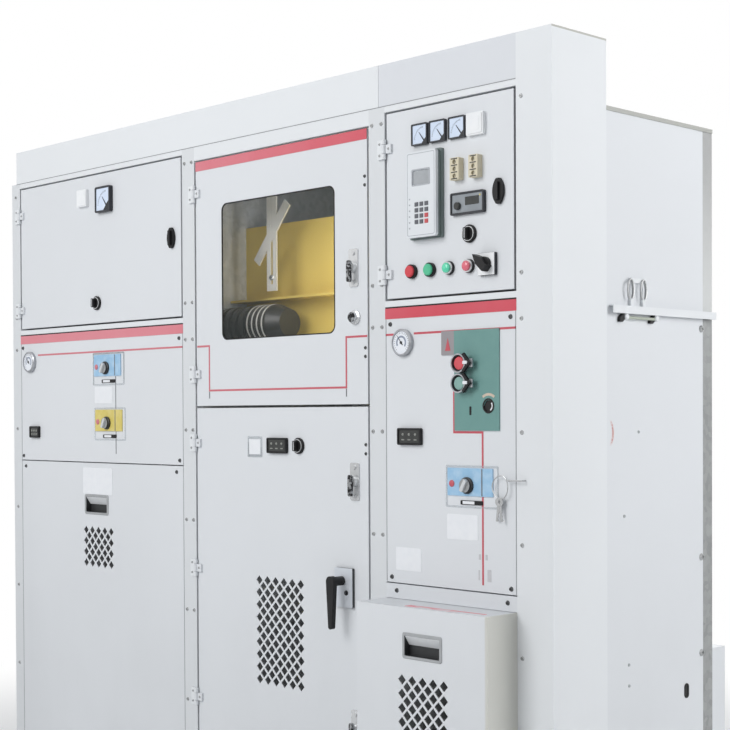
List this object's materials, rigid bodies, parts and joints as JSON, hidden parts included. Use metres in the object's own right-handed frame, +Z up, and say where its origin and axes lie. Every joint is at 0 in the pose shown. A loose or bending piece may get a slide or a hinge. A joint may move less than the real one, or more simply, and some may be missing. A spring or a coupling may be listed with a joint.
{
  "type": "ring main unit",
  "caption": "Medium-voltage ring main unit: joined sheet-steel switch, metering and breaker cubicles with hinged instrument doors, a window door, vents and lift-off cable covers.",
  "frame": {"origin": "middle of the footprint, at floor level", "axes": "+X to the right seen from the front, front faces -Y, +Z up"},
  "size_m": [2.099, 0.765, 2],
  "materials": {
    "panel_paint": "light grey powder coat, smooth",
    "frame_paint": "off-white powder coat, smooth",
    "galvanised": "zinc-coated sheet, dull",
    "plinth_paint": "dark grey paint, matt",
    "mark_red": "red adhesive strip",
    "black_plastic": "black moulded plastic",
    "cup_plastic": "grey moulded plastic",
    "chrome_fittings": "plated die casting",
    "gauge_steel": "turned stainless rim",
    "plate_blue": "pale blue printed plate",
    "knob_grey": "grey moulded knob",
    "breaker_green": "grey-green painted plate",
    "board_yellow": "yellow insulating sheet",
    "resin_black": "dark cast resin",
    "pane_glass": "clear safety pane",
    "relay_grey": "light grey case",
    "terminal_cream": "cream moulded blocks",
    "red_plastic": "red moulded button",
    "green_plastic": "green moulded button"
  },
  "bodies": {
    "cubicles": {"base_frame": "plinth_paint", "floor_plates": "galvanised", "left_end_wall": "panel_paint", "partitions": "galvanised", "right_end_wall": "panel_paint", "rear_posts": "galvanised", "back_panels": "panel_paint", "rear_cable_covers": "panel_paint", "roof_panels": "panel_paint", "wireway_box": "panel_paint", "joint_strips": "frame_paint", "fascia_panels": "frame_paint", "end_trim": "frame_paint", "door_rails": "panel_paint", "control_trays": "galvanised", "left_mimic_panel": "panel_paint", "right_mimic_panel": "panel_paint", "left_cable_cover": "panel_paint", "right_cable_box": "panel_paint", "pull_cups": "cup_plastic", "marking_strips": "mark_red", "gas_gauges": "gauge_steel", "operating_plates": "plate_blue", "operating_knobs": "knob_grey", "breaker_plate": "breaker_green", "breaker_buttons": "knob_grey", "panel_displays": "black_plastic", "side_rail": "panel_paint", "hinge_pins": "frame_paint", "barrier_board": "board_yellow", "stay_bars": "galvanised", "transformer_shelf": "galvanised", "instrument_transformer": "resin_black"},
    "left_control_door": {"left_control_door": "panel_paint", "left_door_meters": "black_plastic"},
    "left_latch": {"left_latch": "black_plastic"},
    "left_selector": {"left_selector": "black_plastic"},
    "window_door": {"window_door": "panel_paint", "window_pane": "pane_glass", "window_strip": "mark_red", "window_hasp": "chrome_fittings"},
    "metering_door": {"metering_door": "panel_paint", "metering_display": "black_plastic", "metering_hasps": "chrome_fittings", "lever_plate": "chrome_fittings"},
    "metering_selector": {"metering_selector": "black_plastic"},
    "lever_handle": {"lever_handle": "black_plastic"},
    "right_control_door": {"right_control_door": "panel_paint", "right_door_meters": "black_plastic", "protection_relay": "relay_grey", "terminal_blocks": "terminal_cream", "indicator_lamps": "green_plastic"},
    "red_button": {"red_button": "red_plastic"},
    "green_button": {"green_button": "green_plastic"},
    "right_selector": {"right_selector": "black_plastic"},
    "right_latch": {"right_latch": "black_plastic"},
    "rotary_handle": {"rotary_handle": "black_plastic"}
  },
  "joints": [
    {"name": "left_control_door_hinge", "type": "hinge", "parent": "cubicles", "child": "left_control_door", "pos_m": [-1.002, -0.2935, 1.676], "axis": [0, 0, -1], "range_deg": [0, 105]},
    {"name": "window_door_hinge", "type": "hinge", "parent": "cubicles", "child": "window_door", "pos_m": [-0.145, -0.2935, 1.546], "axis": [0, 0, -1], "range_deg": [0, 105]},
    {"name": "metering_door_hinge", "type": "hinge", "parent": "cubicles", "child": "metering_door", "pos_m": [-0.145, -0.2935, 0.66], "axis": [0, 0, -1], "range_deg": [0, 105]},
    {"name": "right_control_door_hinge", "type": "hinge", "parent": "cubicles", "child": "right_control_door", "pos_m": [0.56, -0.2935, 1.676], "axis": [0, 0, -1], "range_deg": [0, 105]},
    {"name": "left_latch_turn", "type": "hinge", "parent": "left_control_door", "child": "left_latch", "pos_m": [-0.24452, -0.2875, 1.676], "axis": [0, -1, 0], "range_deg": [0, 90]},
    {"name": "left_selector_turn", "type": "hinge", "parent": "left_control_door", "child": "left_selector", "pos_m": [-0.59775, -0.2875, 1.52301], "axis": [0, -1, 0], "range_deg": [-45, 45]},
    {"name": "metering_selector_turn", "type": "hinge", "parent": "metering_door", "child": "metering_selector", "pos_m": [0.2585, -0.2875, 1.12954], "axis": [0, -1, 0], "range_deg": [-45, 45]},
    {"name": "lever_turn", "type": "hinge", "parent": "metering_door", "child": "lever_handle", "pos_m": [0.41658, -0.2875, 0.81539], "axis": [0, 1, 0], "range_deg": [0, 90]},
    {"name": "right_selector_turn", "type": "hinge", "parent": "right_control_door", "child": "right_selector", "pos_m": [0.8155, -0.2875, 1.59282], "axis": [0, -1, 0], "range_deg": [-45, 45]},
    {"name": "right_latch_turn", "type": "hinge", "parent": "right_control_door", "child": "right_latch", "pos_m": [0.8995, -0.2875, 1.67516], "axis": [0, -1, 0], "range_deg": [0, 90]},
    {"name": "rotary_turn", "type": "hinge", "parent": "right_control_door", "child": "rotary_handle", "pos_m": [0.86838, -0.2875, 1.52343], "axis": [0, -1, 0], "range_deg": [0, 90]},
    {"name": "red_button_press", "type": "slide", "parent": "right_control_door", "child": "red_button", "axis": [0, 1, 0], "range_m": [0, 0.003], "stiffness_N_per_m": 500},
    {"name": "green_button_press", "type": "slide", "parent": "right_control_door", "child": "green_button", "axis": [0, 1, 0], "range_m": [0, 0.003], "stiffness_N_per_m": 500}
  ]
}
